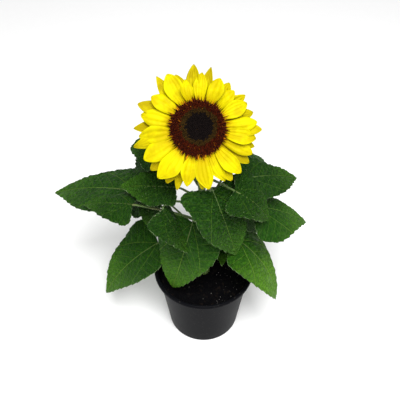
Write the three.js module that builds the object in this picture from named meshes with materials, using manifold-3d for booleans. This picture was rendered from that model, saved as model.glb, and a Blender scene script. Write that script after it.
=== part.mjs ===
// A dwarf sunflower in flower, growing in a round plastic nursery pot.
// Millimetres, +Z up. The origin is the centre of the pot's flat underside and
// the flower faces the front (-Y), tipped back to look up.
import * as THREE from 'three';
import Module from 'manifold-3d';

const wasm = await Module();
wasm.setup();

const { sin, cos, PI } = Math;
const DEG = PI / 180;

// Pot
const POT_HEIGHT = 104;
const POT_RIM_RADIUS = 65;
const POT_NECK_RADIUS = 60;
const POT_BASE_RADIUS = 47.5;
const POT_WALL = 1.8;
const POT_FLOOR = 3;
const RIM_DEPTH = 6;
const RIM_LIP = 2.2;
const RIM_ROUND = 1;
const FOOT_CHAMFER = 1.5;
const MOUTH_STEP = 0.6;
const POT_SIDES = 40;

// Compost
const SOIL_TOP = 90;
const SOIL_MOUND = 2;
const SOIL_CROWN_RADIUS = 24;
const PART_GAP = 0.35;

// Stem
const STEM_ROOT_RADIUS = 5.2;
const STEM_TOP_RADIUS = 3.8;
const STEM_TOP = 284;
const STEM_LEAN_SIDE = -7;
const STEM_LEAN_BACK = 29;
const STEM_BOW = 3;
const STEM_SIDES = 10;
const STEM_STEPS = 8;
const STEM_FOOT_GAP = 1.5;
const STEM_FOOT_OFFSET = 2;

// Flower head: the middle of the disc face, and the way the face looks
const HEAD_CENTRE = new THREE.Vector3(-7, 0, 334);
const HEAD_LIFT = 38.5;
const DISC_RADIUS = 30;
const DISC_THICK = 9;
const DISC_DOME = 3;
const RAY_COUNT = 17;
const RAY_WIDTH = 16;
const RAY_THICK = 1;
const RAY_ROOT_RADIUS = 30.5;
const RAY_STEPS = [0, 0.2, 0.45, 0.7, 0.88, 1];
const RAY_HALVES = [0.32, 0.72, 0.96, 1, 0.66, 0.1];
const RAY_BEND = 0.7;
const RAY_SEAT = 0.4;
const RAY_TIP_RADIUS_FRONT = 65;
const RAY_TIP_RADIUS_BACK = 67.5;
const HUB_RADIUS = 33;
const HUB_THICK = 2;
const HUB_SIDES = 34;
const HUB_GAP = 0.65;
const BRACT_COUNT = 18;
const BRACT_TIP_RADIUS = 50;
const BRACT_ROOT_RADIUS = 34;
const BRACT_THICK = 1.2;
const CUP_DEPTH = 12;
const CUP_NECK_RADIUS = 6.5;
const NECK_HANDLE = 16;
const NECK_SWELL = 1.6;
const NECK_STEPS = 6;

// Leaves
const BLADE_THICK = 1;
const BLADE_CREASE = 7;
const BLADE_ROWS = 9;
const BLADE_COLUMNS = 4;
const PETIOLE_SIDES = 6;
const PETIOLE_STEPS = 5;
const PETIOLE_ROOT_SWELL = 1.35;
const BLADE_BASE_GAP = 1.2;
const BLADE_FIRST = 0.035;
const BLADE_LAST = 0.985;
const LOBE_SHARE = 0.2;
const LOBE_POWER = 1.5;
const PROBE = 0.004;
const PROBE_FIRST = 0.0005;
const PETIOLE_TAPER = 0.35;
const PETIOLE_LEAVE_OUT = 0.75;
const PETIOLE_LEAVE_UP = 0.66;
const PETIOLE_LEAVE_SHARE = 0.4;
const PETIOLE_ARRIVE_SHARE = 0.3;
const PETIOLE_ARRIVE_CHORD = 0.6;
const YOUNG_LENGTH = 80;

// Each leaf: the height at which its petiole leaves the stem and the place of
// the blade's base; then the blade's heading (anticlockwise from +X), its pitch
// at the base, how much it droops to the tip, its roll, its arch across, its
// sideways bow, its length and width, how full it is towards the tip, and the
// half thickness of its petiole. Angles in degrees.
const LEAVES = [
  { name: 'left_far', at: 148, base: [-86.6, 34.6, 209.3], heading: 160, pitch: -7, droop: 23,
    roll: 4, arch: 11, bow: 5, length: 122, width: 98, full: 0.7, stalk: 2 },
  { name: 'left_small', at: 175, base: [-84, -6, 226.8], heading: 165, pitch: -6, droop: 26,
    roll: 3, arch: 11, bow: -5, length: 71, width: 58, full: 0.62, stalk: 1.6 },
  { name: 'left_inner', at: 214, base: [-33, 7, 242], heading: 172, pitch: -2, droop: 15,
    roll: -5, arch: 2, bow: -3, length: 69, width: 70, full: 0.69, stalk: 1.8 },
  { name: 'left_tucked', at: 162, base: [-64, 16, 212], heading: -125, pitch: -60, droop: 26,
    roll: 2, arch: 1, bow: -1, length: 38, width: 38, full: 0.66, stalk: 1.3 },
  { name: 'left_high', at: 235, base: [-46, 47, 264], heading: 138, pitch: -5, droop: 42,
    roll: -24, arch: 4, bow: 0, length: 71, width: 66, full: 0.63, stalk: 1.6 },
  { name: 'low_left', at: 110, base: [-60, 23, 125], heading: -159, pitch: -20, droop: 44,
    roll: 0, arch: 1, bow: 1, length: 109, width: 90, full: 0.76, stalk: 2.2 },
  { name: 'front_left', at: 150, base: [-14, -4, 194], heading: -112, pitch: -43, droop: 47,
    roll: 18, arch: 8, bow: -15, length: 104, width: 97, full: 0.7, stalk: 2.2 },
  { name: 'hanging', at: 202, base: [-47, -24, 237], heading: -35, pitch: -55, droop: 14,
    roll: -24, arch: 13, bow: 6, length: 69, width: 58, full: 0.72, stalk: 1.6 },
  { name: 'front_right', at: 212, base: [10, -9, 251], heading: -61, pitch: -39, droop: 47,
    roll: -17, arch: 7, bow: 12, length: 92, width: 96, full: 0.58, stalk: 2 },
  { name: 'right_inner', at: 240, base: [34, -12, 255], heading: -12, pitch: -22, droop: 58,
    roll: 7, arch: 8, bow: 8, length: 66, width: 66, full: 0.67, stalk: 1.6 },
  { name: 'right_high', at: 198, base: [50, 33, 232], heading: 29, pitch: -13, droop: 20,
    roll: 4, arch: 7, bow: -2, length: 86, width: 77, full: 0.66, stalk: 1.8 },
  { name: 'right_far', at: 172, base: [56, 12, 205], heading: 17, pitch: -19, droop: 27,
    roll: -1, arch: 21, bow: -3, length: 94, width: 98, full: 0.66, stalk: 2 },
  { name: 'right_shaded', at: 140, base: [36, 42, 180], heading: -12, pitch: -38, droop: 16,
    roll: 4, arch: -4, bow: 3, length: 74, width: 72, full: 0.62, stalk: 1.5 },
  { name: 'low_right', at: 150, base: [41, -11, 171], heading: -22, pitch: -29, droop: 58,
    roll: -8, arch: 15, bow: -3, length: 113, width: 84, full: 0.73, stalk: 2.2 },
  { name: 'shoot_front', at: 136, base: [23, 13, 146], heading: -91, pitch: 12, droop: 48,
    roll: 0, arch: 4, bow: 0, length: 42, width: 31, full: 0.6, stalk: 1.2 },
  { name: 'shoot_right', at: 107, base: [36, 15, 133], heading: -97, pitch: 16, droop: 42,
    roll: 0, arch: 4, bow: 0, length: 36, width: 30, full: 0.6, stalk: 1.2 },
  { name: 'rear_high', at: 236, base: [1, 64, 262], heading: 86, pitch: -6, droop: 48,
    roll: 6, arch: 8, bow: 4, length: 96, width: 84, full: 0.66, stalk: 1.9 },
  { name: 'rear_left', at: 226, base: [-40, 66, 228], heading: 124, pitch: -8, droop: 44,
    roll: -6, arch: 9, bow: -4, length: 100, width: 84, full: 0.68, stalk: 2 },
  { name: 'rear_right', at: 187, base: [33, 68, 218], heading: 58, pitch: -8, droop: 42,
    roll: 5, arch: 9, bow: 5, length: 98, width: 84, full: 0.68, stalk: 2 },
  { name: 'rear_low_left', at: 140, base: [-62, 56, 165], heading: 142, pitch: -12, droop: 40,
    roll: 4, arch: 7, bow: 3, length: 86, width: 70, full: 0.7, stalk: 2 },
  { name: 'rear_low_right', at: 134, base: [24, 60, 160], heading: 62, pitch: -10, droop: 44,
    roll: -5, arch: 8, bow: -4, length: 94, width: 78, full: 0.7, stalk: 2.1 },
];

const COLOURS = {
  pot: [0x242526, 0.45],
  compost: [0x1c1611, 0.95],
  stem: [0x6f8a3c, 0.6],
  leaf: [0x2f6b27, 0.55],
  young: [0x4d8435, 0.55],
  ray: [0xf7e11a, 0.6],
  disc: [0x2a1712, 0.85],
  bract: [0x4c7a33, 0.6],
};

function material(kind) {
  const [color, roughness] = COLOURS[kind];
  return new THREE.MeshStandardMaterial({ color, roughness, metalness: 0 });
}

const plant = new THREE.Group();

function add(name, geometry, kind) {
  const mesh = new THREE.Mesh(geometry, material(kind));
  mesh.name = name;
  plant.add(mesh);
}

function solidFrom(points, faces) {
  const geometry = new THREE.BufferGeometry();
  const flat = points.flatMap((p) => [p.x, p.y, p.z]);
  geometry.setAttribute('position', new THREE.Float32BufferAttribute(flat, 3));
  geometry.setIndex(faces);
  geometry.computeVertexNormals();
  return geometry;
}

// A closed body through rings of points, each ring anticlockwise when looked
// at from the far end, with a flat cap at both ends.
function loft(rings) {
  const count = rings[0].length;
  const points = rings.flat();
  const faces = [];
  for (let r = 0; r + 1 < rings.length; r += 1) {
    for (let i = 0; i < count; i += 1) {
      const a = r * count + i;
      const b = r * count + ((i + 1) % count);
      faces.push(a, b, b + count, a, b + count, a + count);
    }
  }
  const last = (rings.length - 1) * count;
  for (let i = 1; i + 1 < count; i += 1) {
    faces.push(0, i + 1, i);
    faces.push(last, last + i, last + i + 1);
  }
  return solidFrom(points, faces);
}

// A round limb along a curve, its radius given from 0 at the root to 1 at the tip.
function limb(curve, steps, sides, radiusAt) {
  const rings = [];
  let side = null;
  for (let k = 0; k <= steps; k += 1) {
    const t = k / steps;
    const centre = curve.getPoint(t);
    const along = curve.getTangent(t);
    if (side === null) {
      side = new THREE.Vector3(1, 0, 0);
      if (Math.abs(along.x) > 0.8) {
        side.set(0, 1, 0);
      }
    }
    side.addScaledVector(along, -side.dot(along)).normalize();
    const other = new THREE.Vector3().crossVectors(along, side);
    const ring = [];
    for (let i = 0; i < sides; i += 1) {
      const a = (i / sides) * 2 * PI;
      const r = radiusAt(t);
      ring.push(
        centre.clone().addScaledVector(side, r * cos(a)).addScaledVector(other, r * sin(a)),
      );
    }
    rings.push(ring);
  }
  return loft(rings);
}

function turned(profile, sides) {
  const points = profile.map(([r, z]) => new THREE.Vector2(r, z));
  const geometry = new THREE.LatheGeometry(points, sides);
  geometry.rotateX(PI / 2);
  return geometry;
}

// Closed turned bodies in the lathe have doubled points on the axis and the
// seam, so they go through the solid kernel to come back with one skin.
function asSolid(geometry) {
  const position = geometry.getAttribute('position');
  const index = geometry.getIndex();
  const lookup = new Map();
  const remap = [];
  const kept = [];
  for (let i = 0; i < position.count; i += 1) {
    const p = [position.getX(i), position.getY(i), position.getZ(i)];
    const key = p.map((v) => Math.round(v * 1e4)).join(',');
    if (!lookup.has(key)) {
      lookup.set(key, kept.length / 3);
      kept.push(...p);
    }
    remap.push(lookup.get(key));
  }
  const faces = [];
  for (let i = 0; i < index.count; i += 3) {
    const [a, b, c] = [0, 1, 2].map((n) => remap[index.getX(i + n)]);
    if (a !== b && b !== c && a !== c) {
      faces.push(a, b, c);
    }
  }
  return new wasm.Manifold(new wasm.Mesh({
    numProp: 3,
    vertProperties: Float32Array.from(kept),
    triVerts: Uint32Array.from(faces),
  }));
}

function fromSolid(solid) {
  const mesh = solid.getMesh();
  const geometry = new THREE.BufferGeometry();
  geometry.setAttribute(
    'position',
    new THREE.Float32BufferAttribute(Array.from(mesh.vertProperties), 3),
  );
  geometry.setIndex(Array.from(mesh.triVerts));
  geometry.computeVertexNormals();
  return geometry;
}

// ---- Pot and compost -------------------------------------------------------

const shoulder = POT_HEIGHT - RIM_DEPTH;

function potRadius(z) {
  return POT_BASE_RADIUS + (POT_NECK_RADIUS - POT_BASE_RADIUS) * (z / shoulder);
}

const mouthRadius = POT_NECK_RADIUS - POT_WALL + MOUTH_STEP;
const potProfile = [
  [0, 0],
  [POT_BASE_RADIUS - FOOT_CHAMFER, 0],
  [POT_BASE_RADIUS, FOOT_CHAMFER],
  [POT_NECK_RADIUS, shoulder],
  [POT_RIM_RADIUS - RIM_ROUND, shoulder + RIM_ROUND],
  [POT_RIM_RADIUS, shoulder + RIM_LIP],
  [POT_RIM_RADIUS, POT_HEIGHT - RIM_ROUND],
  [POT_RIM_RADIUS - RIM_ROUND, POT_HEIGHT],
  [POT_RIM_RADIUS - RIM_ROUND - POT_WALL, POT_HEIGHT],
  [mouthRadius, shoulder],
  [potRadius(POT_FLOOR) - POT_WALL, POT_FLOOR],
  [0, POT_FLOOR],
];
add('pot', fromSolid(asSolid(turned(potProfile, POT_SIDES))), 'pot');

function soilRadius(z) {
  const share = (z - POT_FLOOR) / (shoulder - POT_FLOOR);
  const low = potRadius(POT_FLOOR) - POT_WALL;
  return low + (mouthRadius - low) * share - PART_GAP;
}

const soilProfile = [
  [0, POT_FLOOR + PART_GAP],
  [soilRadius(POT_FLOOR + PART_GAP), POT_FLOOR + PART_GAP],
  [soilRadius(SOIL_TOP), SOIL_TOP],
  [SOIL_CROWN_RADIUS, SOIL_TOP + SOIL_MOUND],
  [0, SOIL_TOP + SOIL_MOUND],
];
add('compost', fromSolid(asSolid(turned(soilProfile, POT_SIDES))), 'compost');

// ---- Stem ------------------------------------------------------------------

const stemFoot = SOIL_TOP + SOIL_MOUND + STEM_FOOT_GAP;
const stemRise = STEM_TOP + STEM_FOOT_OFFSET - SOIL_TOP;

function stemPoint(z) {
  const k = (z - SOIL_TOP) / stemRise;
  return new THREE.Vector3(
    STEM_FOOT_OFFSET + STEM_LEAN_SIDE * k,
    STEM_FOOT_OFFSET + STEM_LEAN_BACK * k + STEM_BOW * sin(PI * k),
    z,
  );
}

function stemRadius(z) {
  const k = (z - stemFoot) / (STEM_TOP - stemFoot);
  return STEM_ROOT_RADIUS + (STEM_TOP_RADIUS - STEM_ROOT_RADIUS) * k;
}

class StemCurve extends THREE.Curve {
  getPoint(t) {
    return stemPoint(stemFoot + (STEM_TOP - stemFoot) * t);
  }
}
add(
  'stem',
  limb(new StemCurve(), STEM_STEPS, STEM_SIDES, (t) => (
    stemRadius(stemFoot + (STEM_TOP - stemFoot) * t)
  )),
  'stem',
);

// ---- Flower head -----------------------------------------------------------

const faceWay = new THREE.Vector3(0, -cos(HEAD_LIFT * DEG), sin(HEAD_LIFT * DEG));
const headFrame = new THREE.Matrix4()
  .makeBasis(
    new THREE.Vector3(1, 0, 0),
    new THREE.Vector3(0, sin(HEAD_LIFT * DEG), cos(HEAD_LIFT * DEG)),
    faceWay,
  )
  .setPosition(HEAD_CENTRE);

function addToHead(name, geometry, kind) {
  add(name, geometry.applyMatrix4(headFrame), kind);
}

const discProfile = [
  [0, -DISC_THICK],
  [DISC_RADIUS - 2, -DISC_THICK],
  [DISC_RADIUS, -DISC_THICK + 4],
  [DISC_RADIUS - 0.5, 0],
  [DISC_RADIUS - 6, DISC_DOME],
  [DISC_RADIUS / 2, DISC_DOME - 2],
  [0, DISC_DOME - 3],
];
addToHead('flower_disc', fromSolid(asSolid(turned(discProfile, 32))), 'disc');

// One ray floret: a thin strap, widest past its middle, rising a little from
// the hub and bending back at the tip.
function rayFloret(angle, base, tipRadius, rise, recurve) {
  const rings = RAY_STEPS.map((t, k) => {
    const r = RAY_ROOT_RADIUS + (tipRadius - RAY_ROOT_RADIUS) * t;
    const z = base + rise * sin(t * PI * RAY_BEND) - recurve * t * t;
    const half = (RAY_WIDTH / 2) * RAY_HALVES[k];
    return [
      new THREE.Vector3(r, -half, z),
      new THREE.Vector3(r, half, z),
      new THREE.Vector3(r, half, z + RAY_THICK),
      new THREE.Vector3(r, -half, z + RAY_THICK),
    ];
  });
  return loft(rings).rotateZ(angle);
}

function rayRing(base, tipRadius, rise, recurve, offset) {
  const hubBody = new THREE.CylinderGeometry(HUB_RADIUS, HUB_RADIUS, HUB_THICK, HUB_SIDES);
  hubBody.rotateX(PI / 2);
  hubBody.translate(0, 0, base + HUB_THICK / 2);
  let ring = asSolid(hubBody);
  for (let i = 0; i < RAY_COUNT; i += 1) {
    const angle = ((i + offset) / RAY_COUNT) * 2 * PI;
    const floret = rayFloret(angle, base + RAY_SEAT, tipRadius, rise, recurve);
    ring = ring.add(asSolid(floret));
  }
  return fromSolid(ring);
}

const frontBase = -DISC_THICK - PART_GAP - HUB_THICK;
const backBase = frontBase - HUB_GAP - HUB_THICK;
addToHead('ray_florets_front', rayRing(frontBase, RAY_TIP_RADIUS_FRONT, 6, 2, 0), 'ray');
addToHead('ray_florets_back', rayRing(backBase, RAY_TIP_RADIUS_BACK, 4, 4, 0.5), 'ray');

// The green bracts are one pointed plate with the cup of the receptacle below.
const bractBase = backBase - PART_GAP - BRACT_THICK;
const bractOutline = new THREE.Shape();
for (let i = 0; i < BRACT_COUNT * 2; i += 1) {
  const angle = (i / (BRACT_COUNT * 2)) * 2 * PI;
  const r = i % 2 ? BRACT_ROOT_RADIUS : BRACT_TIP_RADIUS;
  const go = i ? 'lineTo' : 'moveTo';
  bractOutline[go](r * cos(angle), r * sin(angle));
}
bractOutline.closePath();
const bractPlate = new THREE.ExtrudeGeometry(bractOutline, {
  depth: BRACT_THICK,
  bevelEnabled: false,
});
bractPlate.translate(0, 0, bractBase);
const cupProfile = [
  [0, bractBase - CUP_DEPTH],
  [CUP_NECK_RADIUS, bractBase - CUP_DEPTH],
  [BRACT_ROOT_RADIUS * 0.55, bractBase - CUP_DEPTH * 0.6],
  [BRACT_ROOT_RADIUS - 2, bractBase + BRACT_THICK / 2],
  [0, bractBase + BRACT_THICK / 2],
];
function indexed(geometry) {
  if (geometry.getIndex() === null) {
    const count = geometry.getAttribute('position').count;
    geometry.setIndex([...Array(count).keys()]);
  }
  return geometry;
}
addToHead(
  'bracts',
  fromSolid(asSolid(indexed(bractPlate)).add(asSolid(turned(cupProfile, 24)))),
  'bract',
);

// The neck carries the stem round from upright to the back of the head.
const neckStart = stemPoint(STEM_TOP + 2 * PART_GAP);
const neckEnd = new THREE.Vector3(0, 0, bractBase - CUP_DEPTH - PART_GAP).applyMatrix4(headFrame);
const neckCurve = new THREE.CubicBezierCurve3(
  neckStart,
  neckStart.clone().add(new THREE.Vector3(-0.5, 2, NECK_HANDLE)),
  neckEnd.clone().addScaledVector(faceWay, -NECK_HANDLE),
  neckEnd,
);
add(
  'flower_neck',
  limb(neckCurve, NECK_STEPS, STEM_SIDES, (t) => STEM_TOP_RADIUS + 0.2 + NECK_SWELL * t * t),
  'stem',
);

// ---- Leaves ----------------------------------------------------------------

const UP = new THREE.Vector3(0, 0, 1);

function bladeFrame(leaf, t) {
  const heading = leaf.heading * DEG;
  const ahead = new THREE.Vector3(cos(heading), sin(heading), 0);
  const aside = new THREE.Vector3(-sin(heading), cos(heading), 0);
  const start = leaf.pitch * DEG;
  const bend = leaf.droop * DEG;
  const slope = start - bend * t;
  const run = (leaf.length * (sin(start) - sin(slope))) / bend;
  const climb = (leaf.length * (cos(slope) - cos(start))) / bend;
  const tangent = ahead.clone().multiplyScalar(cos(slope)).addScaledVector(UP, sin(slope));
  const normal = ahead.clone().multiplyScalar(-sin(slope)).addScaledVector(UP, cos(slope));
  const roll = leaf.roll * DEG;
  const side = aside.clone().multiplyScalar(cos(roll)).addScaledVector(normal, sin(roll));
  const face = normal.clone().multiplyScalar(cos(roll)).addScaledVector(aside, -sin(roll));
  const middle = ahead.clone().multiplyScalar(run).addScaledVector(UP, climb);
  middle.addScaledVector(side, leaf.bow * t * t);
  return { middle, tangent, side, face };
}

function bladeBase(leaf) {
  return new THREE.Vector3(...leaf.base);
}

// A point of the blade: across from -1 to 1, along from 0 at the base to 1.
function bladePoint(leaf, across, along) {
  const { middle, tangent, side, face } = bladeFrame(leaf, along);
  const spread = sin(PI * along ** leaf.full);
  const x = across * (leaf.width / 2) * spread;
  const crease = BLADE_CREASE * DEG;
  const lift = Math.abs(x) * sin(crease) - leaf.arch * (across * spread) ** 2;
  const lobe = LOBE_SHARE * leaf.length * Math.abs(across * spread) ** LOBE_POWER;
  return bladeBase(leaf)
    .add(middle)
    .addScaledVector(side, x * cos(crease))
    .addScaledVector(face, lift)
    .addScaledVector(tangent, -lobe);
}

function bladeNormal(leaf, across, along) {
  const low = Math.max(along - PROBE, PROBE_FIRST);
  const dx = bladePoint(leaf, across + PROBE, along).sub(bladePoint(leaf, across - PROBE, along));
  const dy = bladePoint(leaf, across, along + PROBE).sub(bladePoint(leaf, across, low));
  return dx.cross(dy).normalize();
}

function blade(leaf) {
  const under = [];
  const over = [];
  for (let r = 0; r <= BLADE_ROWS; r += 1) {
    const u = BLADE_FIRST + (BLADE_LAST - BLADE_FIRST) * (r / BLADE_ROWS);
    const along = u ** (1 / leaf.full);
    for (let c = 0; c <= BLADE_COLUMNS; c += 1) {
      const across = (2 * c) / BLADE_COLUMNS - 1;
      const p = bladePoint(leaf, across, along);
      const n = bladeNormal(leaf, across, along).multiplyScalar(BLADE_THICK / 2);
      over.push(p.clone().add(n));
      under.push(p.clone().sub(n));
    }
  }
  const points = [...over, ...under];
  const below = over.length;
  const width = BLADE_COLUMNS + 1;
  const faces = [];
  const quad = (a, b, c, d) => faces.push(a, b, c, a, c, d);
  for (let r = 0; r < BLADE_ROWS; r += 1) {
    for (let c = 0; c < BLADE_COLUMNS; c += 1) {
      const a = r * width + c;
      quad(a, a + 1, a + width + 1, a + width);
      quad(below + a, below + a + width, below + a + width + 1, below + a + 1);
    }
    const left = r * width;
    const right = left + BLADE_COLUMNS;
    quad(left, left + width, below + left + width, below + left);
    quad(right, below + right, below + right + width, right + width);
  }
  for (let c = 0; c < BLADE_COLUMNS; c += 1) {
    const top = BLADE_ROWS * width + c;
    quad(c, below + c, below + c + 1, c + 1);
    quad(top, top + 1, below + top + 1, below + top);
  }
  return solidFrom(points, faces);
}

function petioleCurve(leaf) {
  const tangent = bladeFrame(leaf, 0).tangent;
  const end = bladeBase(leaf).addScaledVector(tangent, -BLADE_BASE_GAP);
  const outward = end.clone().sub(stemPoint(leaf.at)).setZ(0).normalize();
  const clear = stemRadius(leaf.at) + leaf.stalk + PART_GAP;
  const start = stemPoint(leaf.at).addScaledVector(outward, clear);
  const reach = start.distanceTo(end);
  const arrive = end.clone().sub(start).normalize().multiplyScalar(PETIOLE_ARRIVE_CHORD);
  arrive.addScaledVector(tangent, 1 - PETIOLE_ARRIVE_CHORD).normalize();
  const leave = outward.clone().multiplyScalar(PETIOLE_LEAVE_OUT);
  leave.addScaledVector(UP, PETIOLE_LEAVE_UP);
  return new THREE.CubicBezierCurve3(
    start,
    start.clone().addScaledVector(leave, reach * PETIOLE_LEAVE_SHARE),
    end.clone().addScaledVector(arrive, -reach * PETIOLE_ARRIVE_SHARE),
    end,
  );
}

for (const leaf of LEAVES) {
  const kind = leaf.length < YOUNG_LENGTH ? 'young' : 'leaf';
  add(`leaf_${leaf.name}`, blade(leaf), kind);
  add(
    `petiole_${leaf.name}`,
    limb(petioleCurve(leaf), PETIOLE_STEPS, PETIOLE_SIDES, (t) => (
      leaf.stalk * (1 + (PETIOLE_ROOT_SWELL - 1) * (1 - t) ** 3 - PETIOLE_TAPER * t)
    )),
    'stem',
  );
}

export default plant;
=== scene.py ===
import math
import random
import bpy
import numpy as np
from mathutils import Matrix, Vector


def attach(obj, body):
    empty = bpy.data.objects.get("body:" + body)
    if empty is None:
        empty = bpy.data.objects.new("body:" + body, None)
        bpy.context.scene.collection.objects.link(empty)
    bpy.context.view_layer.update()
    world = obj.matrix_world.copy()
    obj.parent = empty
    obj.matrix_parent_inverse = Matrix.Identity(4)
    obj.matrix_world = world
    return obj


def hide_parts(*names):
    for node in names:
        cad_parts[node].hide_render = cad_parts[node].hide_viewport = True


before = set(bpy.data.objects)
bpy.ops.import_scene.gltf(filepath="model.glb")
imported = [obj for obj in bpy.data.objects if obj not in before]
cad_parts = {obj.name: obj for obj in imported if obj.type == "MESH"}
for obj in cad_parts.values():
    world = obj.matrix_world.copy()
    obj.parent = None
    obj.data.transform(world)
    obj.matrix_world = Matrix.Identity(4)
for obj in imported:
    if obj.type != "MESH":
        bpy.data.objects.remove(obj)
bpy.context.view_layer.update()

# ---- Camera, light and floor ------------------------------------------------
# A portrait lens looks down on the plant from the front. One broad soft lamp
# hangs over the front, the room is pale all round, and the floor is a
# plain sheet of white board.

bpy.context.scene.view_settings.view_transform = "Standard"

lens = bpy.data.cameras.new("camera")
lens.lens = 54
lens.sensor_width = 36
camera = bpy.data.objects.new("camera", lens)
camera.location = (-0.005, -0.493, 0.726)
camera.rotation_euler = (math.radians(44.7), 0, 0)
bpy.context.scene.collection.objects.link(camera)
bpy.context.scene.camera = camera


def srgb(red, green, blue):
    """A colour as seen on a chart, 0 to 255, in the renderer's own light values."""
    parts = []
    for part in (red, green, blue):
        part /= 255
        parts.append(part / 12.92 if part <= 0.04045 else ((part + 0.055) / 1.055) ** 2.4)
    return (*parts, 1)


def softbox(name, place, aim, size, watts):
    lamp_data = bpy.data.lights.new(name, "AREA")
    lamp_data.size = size
    lamp_data.energy = watts
    lamp = bpy.data.objects.new(name, lamp_data)
    lamp.location = place
    lamp.rotation_euler = (Vector(aim) - Vector(place)).to_track_quat("-Z", "Y").to_euler()
    bpy.context.scene.collection.objects.link(lamp)


softbox("overhead_softbox", (0.1, -0.6, 1.42), (0, 0, 0.2), 0.7, 27)

room = bpy.data.worlds.new("room")
room.use_nodes = True
room.node_tree.nodes["Background"].inputs["Color"].default_value = (1, 1, 1, 1)
room.node_tree.nodes["Background"].inputs["Strength"].default_value = 0.66
bpy.context.scene.world = room


class Value:
    """One output of a shader node. Arithmetic on it adds Math nodes."""

    def __init__(self, finish, socket):
        self.finish = finish
        self.socket = socket

    def math(self, operation, first, second=0.0):
        return self.finish.node(
            "ShaderNodeMath", {"operation": operation}, {0: first, 1: second}
        )

    def __add__(self, other):
        return self.math("ADD", self, other)

    __radd__ = __add__

    def __sub__(self, other):
        return self.math("SUBTRACT", self, other)

    def __rsub__(self, other):
        return self.math("SUBTRACT", other, self)

    def __mul__(self, other):
        return self.math("MULTIPLY", self, other)

    __rmul__ = __mul__

    def __truediv__(self, other):
        return self.math("DIVIDE", self, other)

    def __abs__(self):
        return self.math("ABSOLUTE", self)


class Finish:
    """A procedural material: its node tree and its surface shader."""

    def __init__(self, name, roughness, **constants):
        self.material = bpy.data.materials.new(name)
        self.material.use_nodes = True
        self.tree = self.material.node_tree
        self.shader = self.tree.nodes["Principled BSDF"]
        self.shader.inputs["Roughness"].default_value = roughness
        for socket, number in constants.items():
            self.shader.inputs[socket.replace("_", " ")].default_value = number

    def node(self, kind, settings, inputs, output=0):
        made = self.tree.nodes.new(kind)
        for setting, value in settings.items():
            setattr(made, setting, value)
        for socket, value in inputs.items():
            self.feed(made.inputs[socket], value)
        return Value(self, made.outputs[output])

    def feed(self, socket, value):
        if isinstance(value, Value):
            self.tree.links.new(value.socket, socket)
        else:
            socket.default_value = value

    def set(self, socket, value):
        self.feed(self.shader.inputs[socket], value)

    def mix(self, factor, first, second):
        return self.node(
            "ShaderNodeMix",
            {"data_type": "RGBA"},
            {0: factor, 6: first, 7: second},
            2,
        )

    def rise(self, value, low, high):
        """0 where value is under low, 1 over high, and a smooth step between."""
        return self.node(
            "ShaderNodeMapRange",
            {"interpolation_type": "SMOOTHSTEP"},
            {"Value": value, "From Min": low, "From Max": high},
        )

    def place(self):
        return self.node("ShaderNodeTexCoord", {}, {}, "Object")

    def chart(self):
        return self.node("ShaderNodeUVMap", {"uv_map": "surface"}, {})

    def part(self, vector, axis):
        return self.node("ShaderNodeSeparateXYZ", {}, {0: vector}, axis)

    def stretched(self, vector, scale):
        return self.node("ShaderNodeMapping", {}, {"Vector": vector, "Scale": scale})

    def noise(self, vector, scale, detail=3.0, roughness=0.55):
        return self.node(
            "ShaderNodeTexNoise",
            {},
            {"Vector": vector, "Scale": scale, "Detail": detail, "Roughness": roughness},
        )

    def cells(self, vector, scale, feature="F1"):
        return self.node(
            "ShaderNodeTexVoronoi",
            {"feature": feature},
            {"Vector": vector, "Scale": scale},
        )

    def relief(self, height, distance, strength=1.0):
        self.set(
            "Normal",
            self.node(
                "ShaderNodeBump",
                {},
                {"Height": height, "Distance": distance, "Strength": strength},
            ),
        )


bpy.ops.object.select_all(action="DESELECT")
bpy.ops.mesh.primitive_plane_add(size=6, location=(0, 0, -0.0002))
floor = bpy.context.object
floor.name = "floor"
board = Finish("white_board", 0.8)
board_grain = board.noise(board.place(), 60)
board.set("Base Color", board.mix(board_grain, (0.93, 0.93, 0.93, 1), (0.95, 0.95, 0.95, 1)))
floor.data.materials.append(board.material)

# ---- Pot ---------------------------------------------------------------------
# A round nursery pot, injection moulded in black plastic: a tapering wall, a
# rolled rim that stands out over it, a ring foot, and drain holes in the floor.

MM = 0.001
POT_SIDES = 160


def turned(name, sides, profile):
    """A closed body turned about the upright axis through (radius, height)
    pairs in millimetres, drawn ring by ring from a small open circle."""
    bpy.ops.object.select_all(action="DESELECT")
    radius, height = profile[0]
    bpy.ops.mesh.primitive_circle_add(
        vertices=sides, radius=radius * MM, location=(0, 0, height * MM)
    )
    piece = bpy.context.object
    piece.name = name
    bpy.ops.object.mode_set(mode="EDIT")
    bpy.ops.mesh.select_all(action="SELECT")
    for next_radius, next_height in profile[1:]:
        bpy.ops.mesh.extrude_edges_move(
            TRANSFORM_OT_translate={"value": (0, 0, (next_height - height) * MM)}
        )
        grow = next_radius / radius
        bpy.ops.transform.resize(
            value=(grow, grow, 1), center_override=(0, 0, next_height * MM)
        )
        radius, height = next_radius, next_height
    bpy.ops.mesh.select_all(action="SELECT")
    bpy.ops.mesh.fill_holes(sides=0)
    bpy.ops.mesh.select_all(action="SELECT")
    bpy.ops.mesh.normals_make_consistent(inside=False)
    bpy.ops.object.mode_set(mode="OBJECT")
    bpy.ops.object.transform_apply(location=True, rotation=True, scale=True)
    return piece


def rounded(centre, radius, start, stop, steps):
    """Points of an arc in a profile, its angles in degrees."""
    arc = []
    for k in range(steps + 1):
        a = math.radians(start + (stop - start) * k / steps)
        arc.append((centre[0] + radius * math.cos(a), centre[1] + radius * math.sin(a)))
    return arc


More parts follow.
